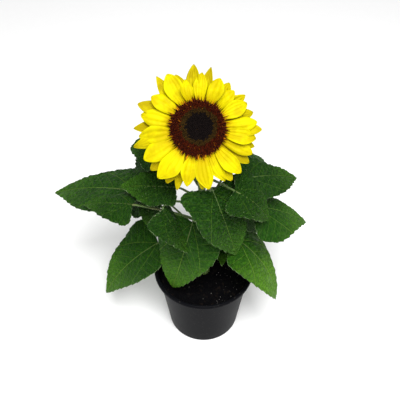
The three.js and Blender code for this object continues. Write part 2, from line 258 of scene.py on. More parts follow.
pot_profile = [(1, 2.2), (24, 2.2), (39, 2.2), (40.4, 1.6), (41, 0.4), (41.6, 0)]
pot_profile += rounded((45.9, 1.5), 1.5, -90, -7, 6)
pot_profile += [(47.7, 3), (50.2, 24), (53.5, 50), (57, 76), (59.3, 92.6)]
pot_profile += [(59.55, 94.4), (60.1, 95.2), (60.1, 97.2), (60.6, 98.1)]
pot_profile += rounded((63.3, 100), 1.7, -80, 0, 6)
pot_profile += rounded((62.8, 101.8), 2.2, 0, 180, 12)
pot_profile += [(60.3, 99.4), (59.2, 97), (57.6, 86), (52.4, 46), (46.6, 4.2)]
pot_profile += [(45.6, 3.2), (30, 3), (1, 3)]
pot = turned("pot", POT_SIDES, pot_profile)

HOLE_COUNT = 8
HOLE_CIRCLE = 32
HOLE_RADIUS = 4.5
bpy.ops.object.select_all(action="DESELECT")
for k in range(HOLE_COUNT):
    turn = 2 * math.pi * k / HOLE_COUNT
    bpy.ops.mesh.primitive_cylinder_add(
        vertices=24,
        radius=HOLE_RADIUS * MM,
        depth=12 * MM,
        location=(HOLE_CIRCLE * MM * math.cos(turn), HOLE_CIRCLE * MM * math.sin(turn), 2 * MM),
    )
    if k == 0:
        drill = bpy.context.object
    else:
        drill.select_set(True)
        bpy.context.view_layer.objects.active = drill
        bpy.ops.object.join()
cut = pot.modifiers.new("drain_holes", "BOOLEAN")
cut.operation = "DIFFERENCE"
cut.object = drill
cut.solver = "EXACT"


def apply_modifiers(piece):
    bpy.ops.object.select_all(action="DESELECT")
    piece.select_set(True)
    bpy.context.view_layer.objects.active = piece
    for modifier in list(piece.modifiers):
        bpy.ops.object.modifier_apply(modifier=modifier.name)


apply_modifiers(pot)
bpy.data.objects.remove(drill)


def smooth(piece, degrees=180):
    bpy.ops.object.select_all(action="DESELECT")
    piece.select_set(True)
    bpy.context.view_layer.objects.active = piece
    if degrees < 180:
        bpy.ops.object.shade_smooth_by_angle(angle=math.radians(degrees))
    else:
        bpy.ops.object.shade_smooth()


smooth(pot, 40)

plastic = Finish("black_plastic", 0.45, Specular_IOR_Level=0.03)
spot = plastic.place()
cloud = plastic.noise(spot, 28, 5)
flow = plastic.noise(plastic.stretched(spot, (1, 1, 0.12)), 90, 4)
dust = plastic.rise(plastic.noise(spot, 420, 2), 0.62, 0.74)
scuff = plastic.rise(plastic.noise(plastic.stretched(spot, (0.25, 0.25, 3)), 160, 3), 0.66, 0.8)
body_tone = plastic.mix(cloud, srgb(5, 6, 9), srgb(14, 14, 17))
body_tone = plastic.mix(dust * 0.25, body_tone, srgb(92, 88, 82))
plastic.set("Base Color", plastic.mix(scuff * 0.14, body_tone, srgb(74, 74, 75)))
plastic.set("Roughness", 0.36 + cloud * 0.12 + scuff * 0.15 + dust * 0.1)
plastic.relief(flow * 0.5 + plastic.noise(spot, 900, 2) * 0.35 + scuff * 0.3, 0.0002, 0.5)
pot.data.materials.append(plastic.material)
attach(pot, "root")
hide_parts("pot")

# ---- Compost -----------------------------------------------------------------
# Damp peat compost fills the pot to a finger's width under the rim: a lumpy
# bed with crumbs of peat, bits of bark and dull grey grains of perlite on it.

SOIL_TOP = 90
SOIL_MOUND = 2
SOIL_EDGE = 57.6
SOIL_RINGS = 46

soil_profile = [(1, 3.3), (45.4, 3.5), (51.8, 46), (SOIL_EDGE, SOIL_TOP - 0.5)]
for ring in range(1, SOIL_RINGS + 1):
    share = 1 - ring / SOIL_RINGS
    mound = SOIL_MOUND * (1 - share**2)
    soil_profile.append((max(SOIL_EDGE * share, 0.4), SOIL_TOP + mound))
compost = turned("compost", 132, soil_profile)

top_group = compost.vertex_groups.new(name="top")
for corner in compost.data.vertices:
    reach = math.hypot(corner.co.x, corner.co.y) / MM
    if corner.co.z > (SOIL_TOP - 0.2) * MM:
        top_group.add([corner.index], min(1, (SOIL_EDGE + 0.6 - reach) / 4), "REPLACE")
for kind, grain, depth in (("CLOUDS", 14, 5), ("VORONOI", 5, 2.4), ("CLOUDS", 2.2, 1.5)):
    lumps = bpy.data.textures.new("compost_lumps", kind)
    lumps.noise_scale = grain * MM
    press = compost.modifiers.new("lumps", "DISPLACE")
    press.texture = lumps
    press.texture_coords = "LOCAL"
    press.strength = depth * MM
    press.mid_level = 0.5
    press.direction = "Z"
    press.vertex_group = "top"
apply_modifiers(compost)
smooth(compost)


def peat(name, deep, pale):
    earth = Finish(name, 0.95, Specular_IOR_Level=0.08)
    spot = earth.place()
    broad = earth.noise(spot, 90, 6, 0.7)
    fine = earth.noise(spot, 900, 4, 0.7)
    crumb = earth.cells(spot, 700)
    earth.set("Base Color", earth.mix(earth.rise(broad * 0.5 + fine * 0.5, 0.4, 0.72), deep, pale))
    earth.relief(fine + crumb * 0.8, 0.0008)
    return earth.material


compost.data.materials.append(peat("damp_peat", srgb(1, 1, 3), srgb(10, 9, 10)))
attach(compost, "root")
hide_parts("compost")


def copies(name, model, places):
    """One piece made of a copy of the model at each place, a 4 by 4 matrix."""
    mesh = model.data
    count = len(mesh.vertices)
    corners = np.empty(count * 3)
    mesh.vertices.foreach_get("co", corners)
    corners = np.c_[corners.reshape(-1, 3), np.ones(count)]
    faces = [tuple(face.vertices) for face in mesh.polygons]
    slots = [face.material_index for face in mesh.polygons]
    points = []
    polygons = []
    for number, place in enumerate(places):
        points.append((corners @ np.array(place).T)[:, :3])
        start = number * count
        polygons += [tuple(start + corner for corner in face) for face in faces]
    joined = bpy.data.meshes.new(name)
    joined.from_pydata(np.vstack(points).tolist(), [], polygons)
    joined.polygons.foreach_set("material_index", slots * len(places))
    for material in mesh.materials:
        joined.materials.append(material)
    piece = bpy.data.objects.new(name, joined)
    bpy.context.scene.collection.objects.link(piece)
    bpy.data.objects.remove(model)
    return piece


def crumb_model(rough_seed, detail):
    """A knobbly crumb about one unit across."""
    bpy.ops.object.select_all(action="DESELECT")
    bpy.ops.mesh.primitive_ico_sphere_add(subdivisions=detail, radius=0.5)
    crumb = bpy.context.object
    dice = random.Random(rough_seed)
    for corner in crumb.data.vertices:
        corner.co *= dice.uniform(0.68, 1.15)
    return crumb


def strewn(dice, count, edge, small, large, flat, weigh=None):
    """Places for things that lie on the compost, with their size in mm."""
    places = []
    while len(places) < count:
        reach = edge * math.sqrt(dice.random())
        turn = dice.uniform(0, 2 * math.pi)
        x, y = reach * math.cos(turn), reach * math.sin(turn)
        if weigh is not None and dice.random() > weigh(x, y):
            continue
        hit, spot, _, _ = compost.ray_cast(Vector((x * MM, y * MM, 0.2)), Vector((0, 0, -1)))
        if not hit:
            continue
        size = dice.uniform(small, large) * dice.uniform(0.7, 1) * MM
        tilt = Matrix.Rotation(dice.uniform(0, 2 * math.pi), 4, "Z")
        tilt = tilt @ Matrix.Rotation(dice.uniform(-0.5, 0.5), 4, "X")
        shape = Matrix.Diagonal((
            size * dice.uniform(0.8, 1.5),
            size * dice.uniform(0.7, 1.1),
            size * flat * dice.uniform(0.7, 1.2),
            1,
        ))
        places.append(Matrix.Translation(spot) @ tilt @ shape)
    return places


soil_dice = random.Random(41)
crumbs = copies("peat_crumbs", crumb_model(5, 2), strewn(soil_dice, 620, 56, 1.4, 4.2, 0.7))
crumbs.data.materials.append(peat("peat_crumb", srgb(2, 2, 4), srgb(19, 16, 16)))
bark = copies("bark_bits", crumb_model(9, 1), strewn(soil_dice, 170, 56, 2.2, 6.5, 0.25))
bark.data.materials.append(peat("bark_bit", srgb(10, 7, 6), srgb(36, 28, 24)))


def right_hand_side(x, y):
    return 0.08 + 0.92 * min(1, max(0, (x - 4) / 20))


perlite_places = strewn(soil_dice, 80, 55, 0.5, 1.4, 0.8, right_hand_side)
perlite = copies("perlite_grains", crumb_model(13, 2), perlite_places)
chalk = Finish("perlite", 0.8)
chalk_tone = chalk.noise(chalk.place(), 500, 3)
chalk.set("Base Color", chalk.mix(chalk_tone, srgb(66, 62, 60), srgb(138, 134, 128)))
chalk.relief(chalk.cells(chalk.place(), 1500), 0.0003)
perlite.data.materials.append(chalk.material)
for piece in (crumbs, bark, perlite):
    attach(piece, "root")

# ---- Stem and flower neck ----------------------------------------------------
# One upright stem as thick as a pencil, green and finely ribbed, with stiff
# pale hairs. It leans back a little, and its neck curves round to the flower.

STEM_FOOT = 93.5
STEM_TOP = 284
STEM_BURIED = 88
STEM_END = STEM_TOP + 0.6
STEM_ROOT_RADIUS = 5.2
STEM_TOP_RADIUS = 3.8
HEAD_CENTRE = np.array([-7.0, 0.0, 334.0])
HEAD_LIFT = math.radians(38.5)
FACE_WAY = np.array([0, -math.cos(HEAD_LIFT), math.sin(HEAD_LIFT)])
CUP_BOTTOM = -27.6


def stem_point(z):
    k = (z - SOIL_TOP) / (STEM_TOP + 2 - SOIL_TOP)
    return np.array([2 - 7 * k, 2 + 29 * k + 3 * math.sin(math.pi * k), z])


def stem_radius(z):
    k = (z - STEM_FOOT) / (STEM_TOP - STEM_FOOT)
    return STEM_ROOT_RADIUS + (STEM_TOP_RADIUS - STEM_ROOT_RADIUS) * k


def bezier(points, steps):
    a, b, c, d = (np.array(point, dtype=float) for point in points)
    t = np.linspace(0, 1, steps + 1)[:, None]
    return (1 - t) ** 3 * a + 3 * (1 - t) ** 2 * t * b + 3 * (1 - t) * t**2 * c + t**3 * d


def shaped_sheet(name, columns, rows, shape):
    """A grid whose points are placed by shape(across, along): across runs from
    -1 to 1 and along from 0 to 1, and the answer is in millimetres, with a
    pair of surface coordinates after it."""
    bpy.ops.object.select_all(action="DESELECT")
    bpy.ops.mesh.primitive_grid_add(x_subdivisions=columns, y_subdivisions=rows, size=2)
    piece = bpy.context.object
    piece.name = name
    mesh = piece.data
    mesh.name = name
    flat = np.empty(len(mesh.vertices) * 3)
    mesh.vertices.foreach_get("co", flat)
    flat = flat.reshape(-1, 3)
    points, chart = shape(-flat[:, 0], (flat[:, 1] + 1) / 2)
    mesh.vertices.foreach_set("co", (points * MM).ravel())
    corners = np.empty(len(mesh.loops), dtype=int)
    mesh.loops.foreach_get("vertex_index", corners)
    mesh.uv_layers[0].name = "surface"
    mesh.uv_layers[0].data.foreach_set("uv", chart[corners].ravel())
    mesh.update()
    return piece


def limb(name, path, sides, radius_at, reference):
    """A closed round limb along a path of points. radius_at(share, angle) gives
    its radius, and the side that faces reference is at a quarter turn."""
    steps = len(path) - 1
    ahead = np.gradient(path, axis=0)
    ahead /= np.linalg.norm(ahead, axis=1)[:, None]
    side = np.cross(ahead, np.array(reference, dtype=float))
    side /= np.linalg.norm(side, axis=1)[:, None]
    other = np.cross(side, ahead)

    def shape(across, along):
        row = np.rint(along * steps).astype(int)
        angle = (across + 1) * math.pi
        radius = radius_at(along, angle)
        points = path[row] + side[row] * (radius * np.cos(angle))[:, None]
        points = points + other[row] * (radius * np.sin(angle))[:, None]
        return points, np.c_[across / 2 + 0.5, along]

    piece = shaped_sheet(name, sides, steps, shape)
    bpy.ops.object.mode_set(mode="EDIT")
    bpy.ops.mesh.select_all(action="SELECT")
    bpy.ops.mesh.remove_doubles(threshold=0.00001)
    bpy.ops.mesh.fill_holes(sides=0)
    bpy.ops.mesh.select_all(action="SELECT")
    bpy.ops.mesh.normals_make_consistent(inside=False)
    bpy.ops.object.mode_set(mode="OBJECT")
    smooth(piece, 50)
    return piece


def ribbed_skin(name, deep, pale, blush):
    skin = Finish(name, 0.55)
    spot = skin.place()
    streak = skin.noise(skin.stretched(spot, (1, 1, 0.1)), 700, 3)
    cloud = skin.noise(spot, 45, 4)
    speck = skin.rise(skin.noise(spot, 1500, 2), 0.6, 0.72)
    tone = skin.mix(streak, deep, pale)
    tone = skin.mix(skin.rise(cloud, 0.5, 0.72) * 0.6, tone, blush)
    skin.set("Base Color", skin.mix(speck * 0.25, tone, srgb(176, 190, 128)))
    skin.set("Roughness", 0.45 + cloud * 0.2)
    skin.relief(streak + speck * 0.4, 0.0003)
    return skin.material


stem_skin = ribbed_skin("stem_skin", srgb(62, 88, 34), srgb(104, 128, 62), srgb(92, 82, 50))

stem_path = np.array([stem_point(z) for z in np.linspace(STEM_BURIED, STEM_END, 90)])
# Heights of the swellings where leaf stalks leave the stem.
JOINT_HEIGHTS = (107, 110, 134, 140, 149, 162, 174, 187, 200, 213, 226, 238)


def stem_girth(share, angle):
    height = STEM_BURIED + (STEM_END - STEM_BURIED) * share
    radius = STEM_ROOT_RADIUS + (STEM_TOP_RADIUS - STEM_ROOT_RADIUS) * share
    swell = sum(np.exp(-(((height - joint) / 4) ** 2)) for joint in JOINT_HEIGHTS)
    flare = 1.6 * np.exp(-((height - STEM_BURIED) / 5))
    return radius * (1 + 0.035 * np.cos(11 * angle)) + 0.45 * np.minimum(swell, 1.2) + flare


stem = limb("stem", stem_path, 66, stem_girth, (0, 1, 0))
stem.data.materials.append(stem_skin)
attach(stem, "root")
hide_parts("stem")

neck_start = stem_point(STEM_TOP + 0.7)
neck_end = HEAD_CENTRE + FACE_WAY * CUP_BOTTOM
neck_path = bezier(
    (
        neck_start - np.array([0, 0, 1.5]),
        neck_start + np.array([-0.5, 2, 16]),
        neck_end - FACE_WAY * 16,
        neck_end + FACE_WAY * 2,
    ),
    34,
)


def neck_girth(share, angle):
    return (3.9 + 1.7 * share**2) * (1 + 0.035 * np.cos(11 * angle))


neck = limb("flower_neck", neck_path, 66, neck_girth, (1, 0, 0))
neck.data.materials.append(stem_skin)
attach(neck, "root")
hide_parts("flower_neck")

# ---- Leaves ------------------------------------------------------------------
# Heart-shaped leaves with toothed edges, each on a channelled stalk. Three main
# ribs spread from the base of the blade, finer veins run out from them, and
# the skin puckers up between the veins, most of all in the young upper leaves.

# Millimetres and degrees: the height where the stalk leaves the stem, the base
# of the blade, its heading, pitch, droop, roll, arch, bow, length, width, how
# full it is towards the tip, the stalk's half thickness and how puckered it is.
LEAVES = {
    "left_far": (148, (-86.6, 34.6, 209.3), 160, -7, 23, 4, 11, 5, 122, 98, 0.7, 2, 0.6),
    "left_small": (175, (-84, -6, 226.8), 165, -6, 26, 3, 11, -5, 71, 58, 0.62, 1.6, 0.6),
    "left_inner": (214, (-33, 7, 242), 172, -2, 15, -5, 2, -3, 69, 70, 0.69, 1.8, 1),
    "left_tucked": (162, (-64, 16, 212), -125, -60, 26, 2, 1, -1, 38, 38, 0.66, 1.3, 0.7),
    "left_high": (235, (-46, 47, 264), 138, -5, 42, -24, 4, 0, 71, 66, 0.63, 1.6, 1),
    "low_left": (110, (-60, 23, 125), -159, -20, 44, 0, 1, 1, 109, 90, 0.76, 2.2, 0.35),
    "front_left": (150, (-14, -4, 194), -112, -43, 47, 18, 8, -15, 104, 97, 0.7, 2.2, 0.35),
    "hanging": (202, (-47, -24, 237), -35, -55, 14, -24, 13, 6, 69, 58, 0.72, 1.6, 0.9),
    "front_right": (212, (10, -9, 251), -61, -39, 47, -17, 7, 12, 92, 96, 0.58, 2, 0.8),
    "right_inner": (240, (34, -12, 255), -12, -22, 58, 7, 8, 8, 66, 66, 0.67, 1.6, 1),
    "right_high": (198, (50, 33, 232), 29, -13, 20, 4, 7, -2, 86, 77, 0.66, 1.8, 0.6),
    "right_far": (172, (56, 12, 205), 17, -19, 27, -1, 21, -3, 94, 98, 0.66, 2, 0.4),
    "right_shaded": (140, (36, 42, 180), -12, -38, 16, 4, -4, 3, 74, 72, 0.62, 1.5, 0.4),
    "low_right": (150, (41, -11, 171), -22, -29, 58, -8, 15, -3, 113, 84, 0.73, 2.2, 0.3),
    "shoot_front": (136, (23, 13, 146), -91, 12, 48, 0, 4, 0, 42, 31, 0.6, 1.2, 0.5),
    "shoot_right": (107, (36, 15, 133), -97, 16, 42, 0, 4, 0, 36, 30, 0.6, 1.2, 0.6),
    "rear_high": (236, (1, 64, 262), 86, -6, 48, 6, 8, 4, 96, 84, 0.66, 1.9, 0.8),
    "rear_left": (226, (-40, 66, 228), 124, -8, 44, -6, 9, -4, 100, 84, 0.68, 2, 0.6),
    "rear_right": (187, (33, 68, 218), 58, -8, 42, 5, 9, 5, 98, 84, 0.68, 2, 0.6),
    "rear_low_left": (140, (-62, 56, 165), 142, -12, 40, 4, 7, 3, 86, 70, 0.7, 2, 0.4),
    "rear_low_right": (134, (24, 60, 160), 62, -10, 44, -5, 8, -4, 94, 78, 0.7, 2.1, 0.4),
}
UP = np.array([0.0, 0.0, 1.0])
CREASE = math.radians(7)
TOOTH_PITCH = 8.5
TOOTH_DEPTH = 1.7
BLADE_THICK = 0.45
BLADE_FOOT = 0.012
BLADE_TIP = 0.996
VEIN_START = 0.015
UPPER_PITCH = 0.118
LOWER_PITCH = 0.098
NET_SIZE = 64
YOUNG_LENGTH = 80


def blade_frame(leaf, t):
    """The middle line of a blade at each share t of its length, with its
    forward, sideways and upward directions."""
    _, base, heading, pitch, droop, roll, _, bow, length, *_ = leaf
    heading, start, bend, roll = (math.radians(a) for a in (heading, pitch, droop, roll))
    ahead = np.array([math.cos(heading), math.sin(heading), 0])
    aside = np.array([-math.sin(heading), math.cos(heading), 0])
    t = np.asarray(t, dtype=float)[..., None]
    slope = start - bend * t
    run = length * (math.sin(start) - np.sin(slope)) / bend
    climb = length * (np.cos(slope) - math.cos(start)) / bend
    tangent = ahead * np.cos(slope) + UP * np.sin(slope)
    normal = -ahead * np.sin(slope) + UP * np.cos(slope)
    side = aside * math.cos(roll) + normal * math.sin(roll)
    face = normal * math.cos(roll) - aside * math.sin(roll)
    middle = np.array(base, dtype=float) + ahead * run + UP * climb + side * bow * t**2
    return middle, tangent, side, face


def ripple(value, low, high):
    step = np.clip((value - low) / (high - low), 0, 1)
    return step * step * (3 - 2 * step)


def rib_line(along):
    """How far out a side rib has run at this share of the blade's length."""
    return 0.86 * (along - VEIN_START) * (1 - 0.5 * along)


def vein_depth(out, along):
    """The veins' relief, from 0 on the skin to 1 in the middle of a main rib.
    out and along are shares of the blade's length."""
    rib = np.exp(-((out / 0.012) ** 2))
    edge = rib_line(along)
    side_rib = np.exp(-(((out - edge) * 0.78 / 0.009) ** 2)) * (along > VEIN_START)
    above = (along - 0.75 * out - 0.9 * out**2) / UPPER_PITCH
    upper = np.abs(above - np.rint(above)) * UPPER_PITCH * 0.75
    upper = np.exp(-((upper / 0.007) ** 2)) * (above > 1.6) * (out < edge)
    below = (along + 0.42 * out) / LOWER_PITCH
    lower = np.abs(below - np.rint(below)) * LOWER_PITCH * 0.9
    lower = np.exp(-((lower / 0.007) ** 2)) * (out > edge)
    return np.maximum.reduce([rib, side_rib, 0.7 * upper, 0.6 * lower])


def pucker(x, y, size, seed):
    """Rounded swellings between a net of fine veins, 0 at the net, 1 on top."""
    dice = np.random.default_rng(seed)
    jitter = dice.random((NET_SIZE, NET_SIZE, 2))
    cell_x = np.floor(x / size).astype(int)
    cell_y = np.floor(y / size).astype(int)
    first = np.full(x.shape, 9.0)
    second = np.full(x.shape, 9.0)
    for step_x in (-1, 0, 1):
        for step_y in (-1, 0, 1):
            spot = jitter[(cell_x + step_x) % NET_SIZE, (cell_y + step_y) % NET_SIZE]
            gap = np.hypot(
                cell_x + step_x + spot[:, 0] - x / size,
                cell_y + step_y + spot[:, 1] - y / size,
            )
            second = np.minimum(second, np.maximum(gap, first))
            first = np.minimum(first, gap)
    return ripple(second - first, 0, 0.55)


def thicken(piece, thickness):
    """Give a sheet its thickness in millimetres, half of it on each side."""
    skin = piece.modifiers.new("thickness", "SOLIDIFY")
    skin.thickness = thickness * MM
    skin.offset = 0
    return skin


def leaf_blade(name, leaf, seed):
    _, _, _, _, _, _, arch, _, length, width, full, _, puckered = leaf
    dice = random.Random(seed)
    sway = [dice.uniform(0, 2 * math.pi) for _ in range(4)]
    edge_steps = np.linspace(BLADE_FOOT, BLADE_TIP, 400)
    edge_t = edge_steps ** (1 / full)
    edge_run = np.hypot(
        np.gradient(width / 2 * np.sin(math.pi * edge_steps)), np.gradient(length * edge_t)
    ).cumsum()

    def shape(across, along):
        u = BLADE_FOOT + (BLADE_TIP - BLADE_FOOT) * along
        t = u ** (1 / full)
        middle, tangent, side, face = blade_frame(leaf, t)
        spread = np.sin(math.pi * u)
        teeth = np.interp(u, edge_steps, edge_run) / TOOTH_PITCH + sway[0] + 0.5 * (across > 0)
        teeth = teeth - np.floor(teeth)
        at_edge = ripple(np.abs(across), 0.78, 1) * ripple(spread, 0.05, 0.4)
        uneven = 0.055 * np.sin(12 * t + sway[3] + 2 * np.sign(across))
        uneven = uneven * ripple(np.abs(across), 0.2, 1)
        x = across * width / 2 * spread * (1 + uneven)
        x = x + np.sign(across) * TOOTH_DEPTH * (teeth - 0.6) * at_edge
        off_rib = np.abs(across * spread)
        lobe = 0.2 * length * off_rib**1.5
        lobe = lobe + (0.13 + 0.12 * puckered) * length * off_rib**1.3 * (1 - u) ** 2
        lobe = lobe - TOOTH_DEPTH * 0.7 * teeth * at_edge
        lift = np.abs(x) * math.sin(CREASE) - arch * (across * spread) ** 2
        out = np.abs(x) / length
        forward = t - lobe / length
        veins = vein_depth(out, forward)
        swell = pucker(x + 200, forward * length + 200, 0.05 * length, seed)
        wave = np.sin(9 * t + sway[1] + 1.5 * np.sign(across)) * (across * spread) ** 2
        wave = wave + 0.6 * np.sin(17 * t + sway[2] * np.sign(across)) * off_rib**3
        lift = lift - 0.75 * veins * (1 - 0.5 * t)
        lift = lift + 3 * puckered * (swell - 0.5) * (1 - veins) * (1 - 0.4 * np.abs(across))
        lift = lift + (1.9 + 0.9 * puckered) * wave
        points = middle + side * (x * math.cos(CREASE))[:, None]
        points = points + face * lift[:, None] - tangent * lobe[:, None]
        return points, np.c_[0.5 + 0.5 * x / length, 0.1 + 0.85 * forward]

    rows, columns = (100, 72) if length > YOUNG_LENGTH else (70, 52)
    blade = shaped_sheet("leaf_" + name, columns, rows, shape)
    skin = thicken(blade, BLADE_THICK)
    skin.material_offset = 1
    skin.material_offset_rim = 1
    return blade


def leaf_skin(name, deep, main, light, vein, roughness, painted_light_share, gloss):
    """The upper skin of a blade, patterned by the blade's own coordinates, with painted light
    towards the tip and painted shade near the base and along the fine vein net.
    """
    skin = Finish(name, roughness, Specular_IOR_Level=gloss)
    chart = skin.chart()
    out = abs(skin.part(chart, 0) - 0.5) * 2
    along = (skin.part(chart, 1) - 0.1) / 0.85
    wobble = skin.noise(chart, 14, 2) * 0.02 - 0.01
    edge = rib_line(along)
    rib = 1 - skin.rise(out, 0.003, 0.010)
    side_rib = (1 - skin.rise(abs(out - edge) * 0.78, 0.0015, 0.006)) * skin.rise(along, 0.0, 0.03)
    above = (along - out * 0.75 - out * out * 0.9 + wobble) / UPPER_PITCH
    upper = abs(above - above.math("ROUND", above)) * 0.088
    upper = (1 - skin.rise(upper, 0.001, 0.0055)) * skin.rise(above, 1.5, 1.7)
    inside = skin.rise(edge - out, 0.0, 0.01)
    below = (along + out * 0.42 + wobble) / LOWER_PITCH
    lower = abs(below - below.math("ROUND", below)) * 0.088
    lower = (1 - skin.rise(lower, 0.001, 0.005)) * (1 - inside)
    net = 1 - skin.rise(skin.cells(chart, 34, "DISTANCE_TO_EDGE"), 0.02, 0.16)
    fine_net = 1 - skin.rise(skin.cells(chart, 95, "DISTANCE_TO_EDGE"), 0.03, 0.2)
    veins = rib.math("MAXIMUM", rib, side_rib)
    veins = veins.math("MAXIMUM", veins, upper * inside * 0.6)
    veins = veins.math("MAXIMUM", veins, lower * 0.45)
    broad = skin.noise(chart, 7, 4, 0.6)
    patch_and_painted_light = skin.noise(chart, 38, 4, 0.6)
    # Painted light: lighter green towards the tip and the outer edge of the blade.
    painted_light_reach = along + out * 0.5 + broad * 0.5 - 0.25
    painted_tip_light = skin.rise(painted_light_reach, painted_light_share - 0.3, painted_light_share + 0.3)
    # Tone patches, partly random, from the same noise that raises the bump: the raised puckers are
    # painted lighter and the hollows darker, as painted light and shade.
    tone = skin.mix(skin.rise(patch_and_painted_light, 0.36, 0.66), deep, main)
    # Painted shade: broad dark blotches, strongest near the base of the blade.
    painted_shade = skin.rise(broad, 0.42, 0.62) * (1 - skin.rise(along, 0.1, 0.9) * 0.6)
    tone = skin.mix(painted_shade * 0.55, tone, deep)
    tone = skin.mix(painted_tip_light, tone, light)
    # Painted shade: the sunken net of fine veins is darkened.
    tone = skin.mix(net * 0.4, tone, deep)
    tone = skin.mix(veins * 0.6, tone, vein)
    skin.set("Base Color", tone)
    skin.set("Roughness", roughness - 0.06 + patch_and_painted_light * 0.14 + veins * 0.1)
    relief = patch_and_painted_light * 0.6 - net * 0.55 - fine_net * 0.22 - veins * 0.7
    skin.relief(relief + skin.noise(chart, 260, 2) * 0.1, 0.0016)
    return skin.material


def leaf_underside(name, main, vein):
    skin = Finish(name, 0.65)
    chart = skin.chart()
    net = 1 - skin.rise(skin.cells(chart, 34, "DISTANCE_TO_EDGE"), 0.03, 0.2)
    down = skin.noise(chart, 300, 3)
    tone = skin.mix(skin.noise(chart, 12, 4), main, vein)
    skin.set("Base Color", skin.mix(net * 0.5, tone, vein))
    skin.relief(net * 0.8 + down * 0.5, 0.0005)
    return skin.material


# Each palette: the deep and main greens, the lighter green laid on towards the tip as painted
# light, and the vein colour.
OLD_GREENS = (srgb(22, 62, 4), srgb(44, 88, 10), srgb(68, 114, 22), srgb(106, 142, 52))
LIGHT_GREENS = (srgb(26, 66, 4), srgb(50, 96, 10), srgb(84, 132, 26), srgb(116, 152, 56))
DARK_GREENS = (srgb(16, 52, 2), srgb(42, 82, 8), srgb(60, 104, 18), srgb(90, 126, 40))
OLD_SKIN = leaf_skin("leaf_skin", *OLD_GREENS, 0.5, 0.7, 0.12)
LIGHT_SKIN = leaf_skin("light_leaf_skin", *LIGHT_GREENS, 0.5, 0.45, 0.1)
DARK_SKIN = leaf_skin("dark_leaf_skin", *DARK_GREENS, 0.44, 0.8, 0.14)
UNDER_SKIN = leaf_underside("leaf_underside", srgb(96, 122, 72), srgb(124, 146, 98))
stalk_skin = ribbed_skin("stalk_skin", srgb(52, 80, 26), srgb(94, 118, 54), srgb(92, 78, 48))


def stalk_path(leaf):
    """The middle line of a stalk, carried on under the blade as its midrib, and
    the share of it at which the stalk meets the blade."""
    at, *_, stalk, _ = leaf
    middle, tangent, _, _ = blade_frame(leaf, np.array([0.0]))
    end = middle[0] - tangent[0] * 1.2
    root = stem_point(at)
    outward = (end - root) * np.array([1, 1, 0])
    outward /= np.linalg.norm(outward)
    start = root + outward * (stem_radius(at) + stalk + 0.35)
    reach = np.linalg.norm(end - start)
    arrive = 0.6 * (end - start) / reach + 0.4 * tangent[0]
    arrive /= np.linalg.norm(arrive)
    handle = start + (0.75 * outward + 0.66 * UP) * reach * 0.4
    bend = bezier((start, handle, end - arrive * reach * 0.3, end), 26)
    inside = np.array([start - outward * (stalk + 1.2) * share for share in (1, 0.5)])
    t = np.linspace(0.03, 0.82, 24)
    under, _, _, face = blade_frame(leaf, t)
    drop = 0.35 + stalk * 0.5 * (1 - t)
    under = under - face * drop[:, None]
    return np.vstack([inside, bend[:-1], under]), (len(bend) + 1) / (len(bend) + 1 + len(t))


hair_roots = []
SKINS = (LIGHT_SKIN, OLD_SKIN, DARK_SKIN)

for number, (name, leaf) in enumerate(LEAVES.items()):
    *_, length, _, _, thick, puckered = leaf
    blade = leaf_blade(name, leaf, 100 + number)
    blade.data.materials.append(SKINS[(puckered > 0.32) + (puckered > 0.55)])
    blade.data.materials.append(UNDER_SKIN)
    apply_modifiers(blade)
    smooth(blade)
    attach(blade, "root")
    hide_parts("leaf_" + name)

    path, meeting = stalk_path(leaf)

    def girth(share, angle, thick=thick, meeting=meeting):
        stalk = np.minimum(share / meeting, 1)
        size = thick * (1 + 0.45 * (1 - stalk) ** 3 - 0.35 * stalk)
        size = size * np.where(share > meeting, 1 - 0.85 * (share - meeting) / (1 - meeting), 1)
        channel = 0.24 * np.exp(-(((angle - math.pi / 2) / 0.45) ** 2))
        return size * (1 - channel + 0.03 * np.cos(8 * angle))

    stalk = limb("petiole_" + name, path, 28, girth, (0, 0, 1))
    stalk.data.materials.append(stalk_skin)
    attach(stalk, "root")
    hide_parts("petiole_" + name)
    hair_roots.append((path[2:27], thick * 0.85))

# ---- Hairs -------------------------------------------------------------------
# Stiff pale hairs, a millimetre or two long, stand out all over the stem, the
# neck and the leaf stalks. Each is a fine three-sided spike.

hair_roots.append((stem_path[6:], 4.6))
hair_roots.append((neck_path, 4.4))
bpy.ops.object.select_all(action="DESELECT")
bpy.ops.mesh.primitive_cone_add(
    vertices=3, radius1=0.06, radius2=0, depth=1, location=(0, 0, 0.5), end_fill_type="NOTHING"
)
hair = bpy.context.object
bpy.ops.object.transform_apply(location=True)
hair_dice = random.Random(7)
hair_places = []
for path, girth in hair_roots:
    run = np.linalg.norm(np.diff(path, axis=0), axis=1).sum()
    for _ in range(int(run * (1.6 if girth < 3 else 4))):
        step = hair_dice.uniform(0, len(path) - 1.001)
        here = int(step)
        centre = path[here] + (path[here + 1] - path[here]) * (step - here)
        ahead = Vector(path[here + 1] - path[here]).normalized()
        out = Vector([hair_dice.gauss(0, 1) for _ in range(3)])
        out = (out - ahead * out.dot(ahead)).normalized()
        lean = (out + ahead * hair_dice.uniform(-0.1, 0.5)).normalized()
        size = hair_dice.uniform(0.9, 2) * MM
        foot = (Vector(centre) + out * girth * 0.9) * MM
        turn = lean.to_track_quat("Z", "Y").to_matrix().to_4x4()
        hair_places.append(Matrix.Translation(foot) @ turn @ Matrix.Diagonal((size, size, size, 1)))
hairs = copies("stem_hairs", hair, hair_places)
down = Finish("pale_hair", 0.6)
down_tone = down.noise(down.place(), 300, 2)
down.set("Base Color", down.mix(down_tone, srgb(150, 164, 112), srgb(206, 212, 182)))
hairs.data.materials.append(down.material)
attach(hairs, "root")

